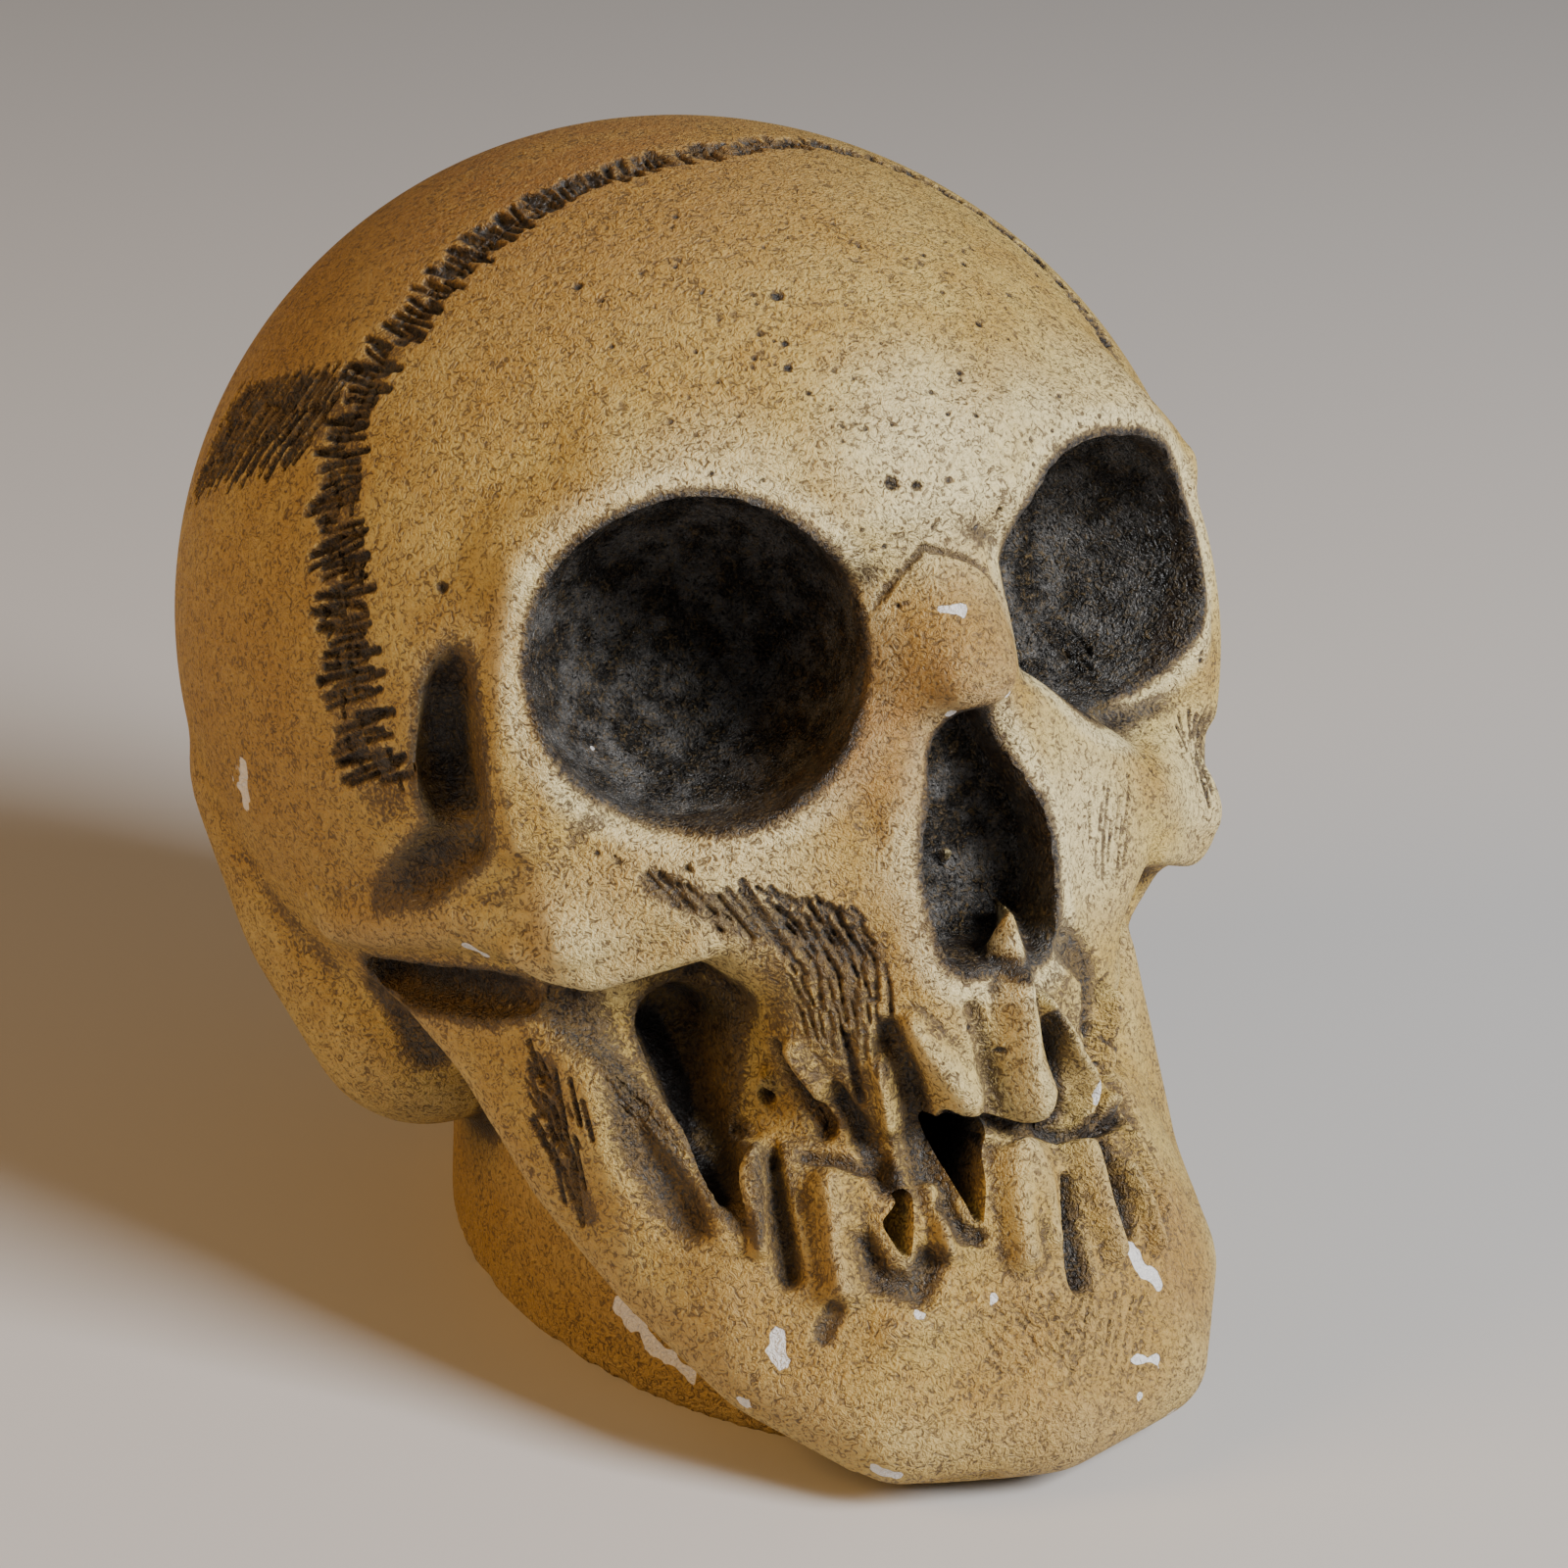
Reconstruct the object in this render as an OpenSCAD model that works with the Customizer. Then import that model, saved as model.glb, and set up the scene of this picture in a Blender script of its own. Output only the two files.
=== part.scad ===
// Hollow ornamental skull, built from moulded shells glued edge to edge.
// Frame: +Z up, the face looks to -Y, +X is the skull's own left side.
// The origin is at the middle of the base, on the surface that the skull stands on.

/* [Braincase] */
// Height of the crown above the table
crown_h = 130; // [128:0.5:132]
// Radius of the round cross-section of the braincase
vault_r = 58.5; // [58:0.1:59]
// Half of the braincase's length, from forehead to occiput
vault_half_len = 65; // [64:0.1:66]
// Distance of the braincase's middle behind the origin
vault_y = 11.7; // [11:0.1:12.5]
// Thickness of the moulded shells
wall = 4.5; // [3.5:0.1:5]
// Tilt of the stitched joint across the crown, from upright
seam_tilt = 22.8; // [18:0.1:27]
// Height at which the stitched joint is placed
seam_z = 95.3; // [92:0.1:98]
// Place of the stitched joint at that height, along Y
seam_y = -4; // [-6:0.1:-2]

/* [Eye sockets] */
// Distance of each socket's middle from the centre line
eye_x = 24.5; // [24:0.1:25]
// Place of the bowl's middle, along Y
eye_y = -27.5; // [-28.5:0.1:-26.5]
// Height of the bowl's middle
eye_z = 86.5; // [85:0.1:88]
// Inner radius of the bowl
eye_r = 18; // [17:0.1:18.5]
// Thickness of the bowl
cup_wall = 2.5; // [1.5:0.1:3]

/* [Neck foot] */
// Half width of the oval foot
foot_half_w = 34; // [32:0.5:36]
// Half length of the oval foot
foot_half_len = 50; // [47:0.5:51]
// Place of the foot's middle, along Y
foot_y = -10.5; // [-12:0.1:-9]
// Thickness of the foot's wall
foot_wall = 5.5; // [4:0.1:7]

/* [Joints] */
// Glue gap left between pieces that meet
gap = 0.1; // [0.05:0.05:0.2]

/* [Hidden] */
$fn = 20;

clay = [0.72, 0.60, 0.38];
warm_clay = [0.70, 0.52, 0.27];
cream = [0.82, 0.74, 0.56];
soot = [0.10, 0.09, 0.09];

vault_z = crown_h - vault_r;
oval_step = 6; // degrees between the points of the braincase's and the foot's outlines
eye_yaw = 20; // the sockets' axes spread outwards
eye_pitch = 6.6; // and look a little upwards
eye_set = 5; // the rim stands this far in front of the bowl's middle
eye_flare = 4; // widening of the opening in front of the rim
nose_wall = 1.5;
reach = 200; // longer than the skull, for cutting tools
neck_top = 34;
neck_slope = 28; // the neck's front edge climbs under the jaw at this angle
slope_start = [-70, 0]; // and starts here, [y, z]

// Lumps of the skull's base behind the ears, [x, y, z, r]
base_lumps = [[42.5, 25, 57, 14], [40.7, 16, 43.5, 14], [37, 6, 33, 14]];

// The face's masses. Each is a few balls, [x, y, z, r], wrapped in one skin.
brow = [[38, -21, 95, 7], [29, -26, 101, 8], [9, -30.5, 103, 10], [22, -14, 103, 14]];
orbit_side = [[38.5, -21, 92, 6], [38.5, -24, 68, 6.5], [26, -6, 80, 14]];
cheek_body = [[38.5, -26, 66, 6.5], [37.5, -31, 57, 6.5], [27, -38.5, 62, 6.5], [22, -10, 66, 12]];
under_eye = [[26, -38, 63, 6.5], [8, -42.5, 77, 6], [10, -46, 52, 9], [18, -12, 62, 12]];
nose_root = [[3, -35, 98, 6], [2.5, -43, 84, 6], [8, -20, 86, 10]];
upper_jaw = [[7, -45.5, 70, 6.5], [13, -45, 48, 9], [5, -51, 47, 9], [13, -24, 50, 9]];
gum_arch = [[17, -39, 41, 6], [12, -49, 40, 6], [4, -54.5, 41, 6.5]];
inner_core = [[16, -10, 88, 12], [14, -16, 64, 11], [6, -36, 58, 8], [8, -24, 84, 8]];
bridge = [[2.5, -39.5, 97.5, 3], [4.5, -43, 89, 4], [2.5, -48, 86.5, 4.2]];
cheek_arch = [[38, -30, 58, 6], [45, -22, 57, 4.2], [50, -11, 53, 3.6], [51.5, -2, 50, 3.2]];

// The nose cavity, and the way into it from the front
nose_hollow = [[1.5, -42, 78, 4.5], [4, -46, 66, 5.5], [3.6, -50, 60, 5.5], [1, -28, 68, 8]];
nose_way = [[1.5, -70, 78, 3.5], [4, -70, 66, 4.2], [3.6, -70, 59, 4.2],
    [1.5, -40, 78, 3.5], [4, -42, 66, 4.2], [3.6, -42, 59, 4.2]];

// Side view, [y, z], of what is cut off the braincase to make room for the face
face_room = [[-100, -30], [-100, 104], [-42, 104], [-40, 97], [-34, 92], [-34, 52],
    [100, 52], [100, -30]];
// Side view of the line where the nose cup stops behind the face
nose_front = [[-90, 30], [-90, 110], [-44, 95], [-52, 60], [-56, 30]];

// Jaw stations from the chin back to the ear: the lower balls, then the upper balls
jaw_low = [[0, -69.6, 8.4, 7], [16, -65, 8.6, 7], [26.5, -54.5, 13.5, 6], [33, -42, 20, 5],
    [38, -31, 28, 4.5], [42, -19, 39, 4], [47, -7, 46, 3]];
jaw_high = [[0, -60, 30.5, 5], [12, -56, 31, 5], [20, -49, 32, 4.5], [29, -45, 31, 4],
    [37.5, -36, 43, 3.5], [41, -24, 50, 3], [46, -9, 49, 3]];

// Teeth along the two arches: [x, y, r]. The right side has lost two.
upper_row = [[-20, -48, 2.8], [-15.5, -54, 3], [-3.4, -61.5, 3.6], [3.4, -61.5, 3.4],
    [10, -59, 3], [15.5, -54, 3], [20, -48, 2.8]];
lower_row = [[-22, -55, 3], [-15.5, -60, 3], [-4.2, -66, 4], [4.2, -66, 4], [13, -62, 3.4],
    [21.5, -56, 3]];

function flip(b) = [-b[0], b[1], b[2], b[3]];
module ball(b, thin = 0) translate([b[0], b[1], b[2]]) sphere(r = b[3] - thin);
module skin(balls, thin = 0) hull() for (b = balls) ball(b, thin);
module twin_skin(balls, thin = 0) hull() for (b = balls) { ball(b, thin); ball(flip(b), thin); }
module both_sides() { children(); mirror([1, 0, 0]) children(); }

// A bar right across the skull, drawn as it looks from the side: [y, z]
module side_bar(outline) rotate([90, 0, 90]) linear_extrude(height = reach, center = true)
    polygon(outline);

// The braincase: an oval turned about the front-to-back axis
module vault(grow = 0, sides = 60)
    translate([0, vault_y, vault_z]) rotate([-90, 0, 0]) rotate_extrude($fn = sides)
        polygon([for (a = [-90 : oval_step : 90])
            [abs(a) == 90 ? 0 : (vault_r + grow) * cos(a), (vault_half_len + grow) * sin(a)]]);

// The lumps behind the ears, whole or thinned by a wall
module lumps(thin = 0) both_sides() for (b = base_lumps) ball(b, thin, $fn = 96);

// The plane of the stitched joint, with the space behind it or ahead of it
module at_seam() translate([0, seam_y, seam_z]) rotate([-seam_tilt, 0, 0]) children();
module behind_seam(shift = 0) at_seam()
    translate([-reach / 2, shift, -reach]) cube([reach, reach, 2 * reach]);
module ahead_of_seam() at_seam()
    translate([-reach / 2, -reach, -reach]) cube([reach, reach, 2 * reach]);

// The frame of the left eye socket: its axis points out of the rim
module at_eye() translate([eye_x, eye_y, eye_z]) rotate([90 - eye_pitch, 0, eye_yaw]) children();

// Two missing teeth leave slots that open into the hollow inside
module tooth_gaps() {
    translate([-9.5, -58, 36]) rotate([0, 8, -14]) cube([4.5, 30, 11], center = true);
    translate([-14.5, -53, 29]) rotate([0, 8, -20]) cube([4.5, 30, 6], center = true);
}

// The face as a solid, or thinned by the wall for the hollow inside it
module face_form(thin = 0) {
    difference() {
        vault(-thin);
        side_bar([for (p = face_room) [p[0] == -100 || p[0] == 100 ? p[0] : p[0] + thin,
            p[1] == 52 ? 52 + thin : p[1]]]);
    }
    twin_skin(brow, thin);
    both_sides() { skin(orbit_side, thin); skin(cheek_body, thin); skin(under_eye, thin); }
    twin_skin(nose_root, thin);
    twin_skin(upper_jaw, thin);
    twin_skin(gum_arch, thin);
}

module face_shell() color(cream) difference() {
    face_form();
    face_form(wall);
    twin_skin(inner_core);
    behind_seam(-gap);
    both_sides() at_eye() {
        sphere(r = eye_r + cup_wall + gap, $fn = 36);
        cylinder(r1 = eye_r, r2 = eye_r + eye_flare, h = 40, $fn = 36);
    }
    twin_skin(nose_hollow, -gap);
    twin_skin(nose_way);
    tooth_gaps();
}

module foot_oval(inset = 0) polygon([for (a = [0 : oval_step : 359])
    [(foot_half_w - inset) * cos(a), foot_y + (foot_half_len - inset) * sin(a)]]);

module rear_shell() color(warm_clay) difference() {
    union() { vault(); lumps(); }
    vault(-wall);
    lumps(wall);
    ahead_of_seam();
    translate([0, 0, -1]) linear_extrude(height = 50) foot_oval(foot_wall);
}

module eye_cup() at_eye() difference() {
    sphere(r = eye_r + cup_wall);
    sphere(r = eye_r);
    translate([-reach / 2, -reach / 2, eye_set]) cube(reach);
}
module right_eye_cup() color(soot) mirror([1, 0, 0]) eye_cup($fn = 48);
module left_eye_cup() color(soot) eye_cup($fn = 48);

module nose_cup() color(soot) difference() {
    twin_skin(nose_hollow);
    twin_skin(nose_hollow, nose_wall);
    side_bar(nose_front);
}

module nose_bridge() color(warm_clay) difference() {
    twin_skin(bridge);
    twin_skin(nose_root, -gap);
    twin_skin(brow, -gap);
    twin_skin(nose_hollow, -gap);
}

module arch_strip() difference() {
    skin(cheek_arch);
    vault(gap, sides = 240);
    skin(orbit_side, -gap);
    skin(cheek_body, -gap);
}
module right_cheek_arch() color(cream) mirror([1, 0, 0]) arch_strip();
module left_cheek_arch() color(cream) arch_strip();

module jaw_form(grow = 0) for (i = [0 : len(jaw_low) - 2])
    both_sides() skin([jaw_low[i], jaw_high[i], jaw_low[i + 1], jaw_high[i + 1]], -grow);
module lower_jaw() color(clay) difference() {
    jaw_form();
    vault(gap);
    twin_skin(gum_arch, -gap);
    twin_skin(upper_jaw, -gap);
    tooth_gaps();
}

// A tooth is a tapering peg from its biting end to its root, which leans inwards
module peg(t, r_low, z_low, r_high, z_high) hull() {
    translate([t[0], t[1], z_low]) sphere(r = r_low, $fn = 12);
    translate([t[0] * 0.9, t[1] + 1.5, z_high]) sphere(r = r_high, $fn = 12);
}
module upper_pegs(grow = 0) for (t = upper_row) peg(t, t[2] + grow, 41, t[2] * 0.7 + grow, 56);
module upper_teeth() color(cream) difference() {
    upper_pegs();
    face_form(-gap);
}
module lower_teeth() color(cream) difference() {
    for (t = lower_row) peg(t, t[2], 26, t[2] * 0.85, 34);
    jaw_form(gap);
    upper_pegs(gap);
    face_form(-gap);
}

module neck_foot() color(warm_clay) difference() {
    linear_extrude(height = neck_top) foot_oval();
    translate([0, 0, -1]) linear_extrude(height = neck_top + 2) foot_oval(foot_wall);
    vault(gap);
    lumps(-gap);
    translate([-reach / 2, slope_start[0], slope_start[1]]) rotate([neck_slope, 0, 0])
        cube([reach, reach / 2, reach / 4]);
}

rear_shell();
face_shell();
right_eye_cup();
left_eye_cup();
nose_cup();
nose_bridge();
right_cheek_arch();
left_cheek_arch();
lower_jaw();
upper_teeth();
lower_teeth();
neck_foot();
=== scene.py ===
# %% [markdown]
# # A painted, hollow ornamental skull
# This ornament is built the way a maskmaker works. Paste or plaster is modelled over rough balls,
# the skin is blended, the sockets are scooped out, and strokes are carved before it dries. The dry
# skin is then cut into a front and a rear shell, hollowed, glued along a stitched joint and painted.
# The script follows the same order, so each cell is one of the maker's steps.

# %% Load the fixed frame
import math

import bpy
import numpy as np
from mathutils import Matrix, Vector
from mathutils.bvhtree import BVHTree
from mathutils.kdtree import KDTree


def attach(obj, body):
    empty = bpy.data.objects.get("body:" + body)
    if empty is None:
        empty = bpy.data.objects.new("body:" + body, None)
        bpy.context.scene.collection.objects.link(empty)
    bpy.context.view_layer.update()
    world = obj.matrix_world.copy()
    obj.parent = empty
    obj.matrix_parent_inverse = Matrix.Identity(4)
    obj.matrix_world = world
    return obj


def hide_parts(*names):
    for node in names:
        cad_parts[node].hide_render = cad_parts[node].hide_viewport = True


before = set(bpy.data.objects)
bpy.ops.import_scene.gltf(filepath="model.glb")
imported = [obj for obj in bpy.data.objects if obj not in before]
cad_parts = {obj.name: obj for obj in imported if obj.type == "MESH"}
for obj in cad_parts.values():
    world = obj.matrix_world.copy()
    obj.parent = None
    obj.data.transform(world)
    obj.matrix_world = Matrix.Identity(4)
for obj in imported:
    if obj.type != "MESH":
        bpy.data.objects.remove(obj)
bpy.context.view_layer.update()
MM = 0.001

# %% [markdown]
# ## Small helpers
# An operator works on whatever is selected, and the loaded frame is selected at first. So a helper
# clears the selection and picks one object before each operator is called.


# %% Selection, modifiers and joining
def pick(*pieces):
    """Selects only these objects and makes the first one active."""
    bpy.ops.object.select_all(action="DESELECT")
    for piece in pieces:
        piece.select_set(True)
    bpy.context.view_layer.objects.active = pieces[0]


def apply_modifier(piece, kind, **settings):
    """Adds one modifier, sets it and applies it."""
    pick(piece)
    modifier = piece.modifiers.new(kind.lower(), kind)
    for name, value in settings.items():
        setattr(modifier, name, value)
    bpy.ops.object.modifier_apply(modifier=modifier.name)


def join(pieces, name):
    """Makes one object of several."""
    pick(*pieces)
    if len(pieces) > 1:
        bpy.ops.object.join()
    pieces[0].name = name
    return pieces[0]


def remove(*pieces):
    """Deletes tools that are no longer needed."""
    for piece in pieces:
        bpy.data.objects.remove(piece, do_unlink=True)


def twin_copy(piece, name):
    """A copy with its own mesh."""
    copy = piece.copy()
    copy.data = piece.data.copy()
    copy.name = name
    bpy.context.collection.objects.link(copy)
    return copy


# %% [markdown]
# ## Balls and skins
# Each swelling of the face is a few balls wrapped in one tight skin. The convex hull operator in
# edit mode makes that skin, so a mass is shaped by moving and sizing a handful of balls. A ball is
# written as x, y, z and radius in millimetres.


# %% Balls wrapped in a skin
def flip(ball):
    return (-ball[0], *ball[1:])


def grown(balls, extra):
    return [(*ball[:3], ball[3] + extra) for ball in balls]


def skin(balls, twin=False, detail=3):
    """Wraps balls in one convex skin. With twin, the mirror images are wrapped in as well."""
    if twin:
        balls = list(balls) + [flip(b) for b in balls]
    made = []
    for x, y, z, radius in balls:
        bpy.ops.mesh.primitive_ico_sphere_add(
            subdivisions=detail, radius=radius * MM, location=(x * MM, y * MM, z * MM)
        )
        made.append(bpy.context.object)
    hull = join(made, "skin")
    bpy.ops.object.transform_apply(location=True, rotation=True, scale=True)
    bpy.ops.object.mode_set(mode="EDIT")
    bpy.ops.mesh.select_all(action="SELECT")
    bpy.ops.mesh.convex_hull()
    bpy.ops.object.mode_set(mode="OBJECT")
    return hull


def both(balls, detail=3):
    """The same skin on the right and on the left."""
    return [skin(balls, detail=detail), skin([flip(b) for b in balls], detail=detail)]


def chain(balls, detail=3):
    """Skins between each ball and the next, for a bent bar."""
    return [skin(balls[i : i + 2], detail=detail) for i in range(len(balls) - 1)]


def remesh(piece, size):
    """Melts overlapping skins into one closed skin with an even grid."""
    pick(piece)
    piece.data.remesh_voxel_size = size * MM
    piece.data.remesh_voxel_adaptivity = 0
    bpy.ops.object.voxel_remesh()


def cut(piece, tool, operation="DIFFERENCE"):
    """Cuts one closed solid by another. The manifold solver keeps both watertight."""
    apply_modifier(piece, "BOOLEAN", object=tool, operation=operation, solver="MANIFOLD")


def melt(pieces, name, size=0.8):
    """One closed tool from several that overlap."""
    tool = join(pieces, name)
    remesh(tool, size)
    return tool


# %% [markdown]
# ## The rough masses
# The braincase is one long oval. Brow, cheekbones, nose root, upper jaw and gums are skins that
# overlap it, and the neck is an oval tube. Their sizes follow the frame, so that every sculpted
# piece ends up where the frame has it.

# %% The braincase and its flattened face
VAULT_MIDDLE = np.array((0.0, 11.7, 71.5))
VAULT_RADII = np.array((58.4, 64.9, 58.4))
FACE_CUT = ((-100, -30), (-100, 104), (-43, 104), (-40.5, 97), (-33, 92), (-33, 30), (-10, -30))
WALL = 4.5


def side_prism(outline, low=-100, high=100):
    """A bar along X from low to high, whose side view is the outline of (y, z) points."""
    corners = [(x * MM, y * MM, z * MM) for x in (low, high) for y, z in outline]
    count = len(outline)
    faces = [tuple(range(count)), tuple(range(2 * count - 1, count - 1, -1))]
    faces += [(i, count + i, count + (i + 1) % count, (i + 1) % count) for i in range(count)]
    mesh = bpy.data.meshes.new("side_prism")
    mesh.from_pydata(corners, [], faces)
    prism = bpy.data.objects.new("side_prism", mesh)
    bpy.context.collection.objects.link(prism)
    pick(prism)
    bpy.ops.object.mode_set(mode="EDIT")
    bpy.ops.mesh.select_all(action="SELECT")
    bpy.ops.mesh.quads_convert_to_tris()
    bpy.ops.mesh.normals_make_consistent(inside=False)
    bpy.ops.object.mode_set(mode="OBJECT")
    return prism


def oval_ball(middle, radii, segments=96):
    bpy.ops.mesh.primitive_uv_sphere_add(segments=segments, ring_count=segments // 2, radius=1)
    oval = bpy.context.object
    oval.scale = [r * MM for r in radii]
    oval.location = [c * MM for c in middle]
    bpy.ops.object.transform_apply(location=True, rotation=True, scale=True)
    return oval


vault = oval_ball(VAULT_MIDDLE, VAULT_RADII)
face_cutter = side_prism(FACE_CUT)
cut(vault, face_cutter)
remove(face_cutter)
print("braincase vertices:", len(vault.data.vertices))

# %% The masses of the face
BROW = [(38, -21, 95, 7), (29, -26, 101, 8), (9, -30.5, 103, 10), (22, -14, 103, 14)]
ORBIT_SIDE = [(38.5, -21, 92, 6), (38.5, -24, 68, 6.5), (26, -6, 80, 14)]
CHEEK_BODY = [(38.5, -26, 66, 6.5), (37.5, -31, 57, 6.5), (27, -38.5, 62, 6.5), (22, -10, 66, 12)]
CHEEK_TIP = [(39.7, -34, 57.5, 4.2), (38, -27, 64, 6), (28, -36, 60, 6)]
UNDER_EYE = [(26, -38, 63, 6.5), (8, -42.5, 77, 6), (10, -46, 52, 9), (18, -12, 62, 12)]
NOSE_ROOT = [(3, -35, 98, 6), (2.5, -43, 84, 6), (8, -20, 86, 10)]
UPPER_JAW = [(7, -45.5, 70, 6.5), (13, -45, 48, 9), (5, -51, 47, 9), (13, -24, 50, 9)]
GUM_ARCH = [(17, -39, 41, 6), (12, -49, 40, 6), (4, -54.5, 41, 6.5)]
MOUTH_FILL = [(19, -40, 38, 5), (11, -50, 34, 5), (3, -53, 34, 6), (20, -34, 48, 5)]
CHEEK_FILL = [(32, -26, 46, 6), (26, -36, 34, 5), (35, -18, 45, 6), (24, -18, 40, 8), (29, -40, 28, 4)]
NOSE_BRIDGE = [(2, -39.5, 98, 2.6), (4, -43.4, 89, 3.2), (1.5, -48.7, 85.8, 3.6)]
BASE_LUMPS = [(42.5, 25, 57, 14), (40.7, 16, 43.5, 14), (37, 6, 33, 14), (28, 30, 48, 14)]
CHEEK_ARCH = [(38, -30, 58, 6), (45, -22, 57, 4.2), (50, -11, 53, 3.6), (51.5, -2, 50, 3.2)]

masses = [vault]
for mass in (BROW, NOSE_ROOT, UPPER_JAW, GUM_ARCH, MOUTH_FILL, NOSE_BRIDGE):
    masses.append(skin(mass, twin=True))
for mass in (ORBIT_SIDE, CHEEK_BODY, CHEEK_TIP, UNDER_EYE, BASE_LUMPS):
    masses += both(mass)
masses.append(skin([flip(b) for b in CHEEK_FILL]))
masses.append(skin([(x - 7, *rest) for x, *rest in CHEEK_FILL]))
for arch in (CHEEK_ARCH, [flip(b) for b in CHEEK_ARCH]):
    masses += chain(arch)

# %% The jaw, station by station from the chin back to the ear. Its left branch is set in.
JAW_LOW = [(0, -69.6, 8.4, 7), (16, -65, 8.6, 7), (26.5, -54.5, 13.5, 6), (33, -42, 20, 5),
           (38, -31, 28, 4.5), (42, -19, 39, 4), (47, -7, 46, 3)]
JAW_HIGH = [(0, -60, 30.5, 5), (12, -56, 31, 5), (20, -49, 32, 4.5), (29, -45, 31, 4),
            (37.5, -36, 43, 3.5), (41, -24, 50, 3), (46, -9, 49, 3)]
JAW_SET_IN = [(0, 0), (0, 0), (1, 2), (3.5, 6.5), (6.5, 9.5), (8, 9), (8, 8)]
left_low = [(low[0] - shift[0], *low[1:]) for low, shift in zip(JAW_LOW, JAW_SET_IN)]
left_high = [(high[0] - shift[1], *high[1:]) for high, shift in zip(JAW_HIGH, JAW_SET_IN)]
right_low, right_high = [flip(b) for b in JAW_LOW], [flip(b) for b in JAW_HIGH]
for lows, highs in ((left_low, left_high), (right_low, right_high)):
    for i in range(len(lows) - 1):
        masses.append(skin([lows[i], highs[i], lows[i + 1], highs[i + 1]]))

# %% The neck, an oval tube with a slightly spread foot
NECK_MIDDLE = (0.0, -10.5)
NECK_RADII = (33.0, 49.0)
NECK_TOP = 36
NECK_WALL = 5.0
SLOPE = ((-80, -6.6), (-80, 60), (40, 60), (8, 41.8))


def neck_oval(inset, low, high, flare=1.0):
    """A solid oval column. The flare widens its lower rim."""
    bpy.ops.mesh.primitive_cone_add(vertices=128, radius1=flare, radius2=1, depth=(high - low) * MM)
    column = bpy.context.object
    column.scale = ((NECK_RADII[0] - inset) * MM, (NECK_RADII[1] - inset) * MM, 1)
    column.location = (NECK_MIDDLE[0] * MM, NECK_MIDDLE[1] * MM, (low + high) / 2 * MM)
    bpy.ops.object.transform_apply(location=True, rotation=True, scale=True)
    return column


neck = neck_oval(0, 0, NECK_TOP, flare=1.015)
neck_slope = side_prism(SLOPE)
cut(neck, neck_slope)
remove(neck_slope)
masses.append(neck)
clay = join(masses, "clay")
remesh(clay, 1.2)
apply_modifier(clay, "SMOOTH", factor=0.5, iterations=10)
print("clay after the first melt:", len(clay.data.vertices), "vertices")

# %% [markdown]
# ## Scooping out the hollows
# Sockets, nose, temples, cheeks and the space under each cheek arch are scooped out with skins of
# balls used as spoons. Every spoon is kept, because the dark wash of paint settles where a spoon
# has been, and the painter asks later how near each spot is to one. In the temples, the cheek
# hollows and under the arches that dark is partly painted shade.

# %% The spoons
EYE_MIDDLE = (24.5, -27.5, 86.5)
EYE_RADIUS = 18.0
EYE_MOUTH = (31.5, -50, 89.5)
# The second number of each spoon is how dark its hollow is washed: partly the figure's own wash, partly
# painted shade in these shaded hollows.
SPOONS = {
    "temple": ([(48.4, -22.4, 86, 2.2), (49.4, -24.6, 78, 3.4), (49, -25.4, 68, 3.6), (47.4, -19, 74, 3),
                (47.6, -20, 82, 2.4)], 0.6, 2),
    "temple_tail": ([(48.6, -24.6, 67, 3.4), (51, -20, 61, 2.8), (53, -14, 57, 1.4)], 0.6, 2),
    "under_arch": ([(50, -20, 46, 3), (43.5, -24, 48, 2.6), (51.5, -9, 44, 2.6),
                    (47, -6, 44.5, 2.4), (42.5, -28, 49, 2)], 0.75, 2),
    "cheek_hollow": ([(30, -42, 47.5, 3.4), (25.4, -42, 49.5, 2.8), (27, -32, 45, 4),
                      (28.8, -52, 36.5, 2), (27, -40, 35, 3), (29.2, -58, 29, 1)], 0.66, 1),
}
# The nose is scooped from its mouth to its floor. Its deep balls bound the pocket that is cut there.
NOSE_MOUTH = [(0.2, -60, 81, 1.8), (3.2, -60, 73, 3.6), (4.4, -60, 65, 3.6), (3.9, -60, 59.3, 3.4)]
NOSE_DEEP = [(0.2, -38, 79, 2.5), (4, -42, 67, 4), (3.6, -45, 59.5, 3.6)]
NOSE_FLOOR = [(0.2, -43, 79.5, 2.2), (4, -47, 67, 4), (3.6, -49, 59.5, 3.4)]

RIGHT_SOCKET = [flip(ball) for ball in [(24.8, -32, 86.8, 17.6), (*EYE_MOUTH, 17.5)]]
LEFT_SOCKET = [(24.5, -31.5, 88.6, 15.6), (18.8, -47, 95.8, 10.6), (31, -50, 89.4, 14.8),
               (34.6, -47, 88, 14.4)]

spoons = [(skin(balls, detail=4), 1.0) for balls in (RIGHT_SOCKET, LEFT_SOCKET)]
for balls, wash_and_shade, sides in SPOONS.values():
    spoons += [(skin(tool), wash_and_shade) for tool in ([flip(b) for b in balls], balls)[:sides]]
spoons.append((skin(NOSE_MOUTH + NOSE_FLOOR, twin=True), 1.0))
for tool, _ in spoons:
    cut(clay, tool)
remesh(clay, 1.0)
apply_modifier(clay, "SMOOTH", factor=0.5, iterations=3)
print("clay with hollows:", len(clay.data.vertices), "vertices")

# %% [markdown]
# ## Brush strokes
# The fine modelling is done with a modelling tool dragged over the wet surface: ridges for tooth
# roots, grooves between them, rows of stitches along the joint. A stroke here is a short line of
# points that is laid on the surface, with a width and a height. A height below zero digs. The
# surface needs small faces to hold a stroke, so the faces near strokes are subdivided first, and
# then every point near the line moves along its normal, as a sculpting brush moves it.


# %% Laying strokes on the surface
STROKES = []


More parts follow.
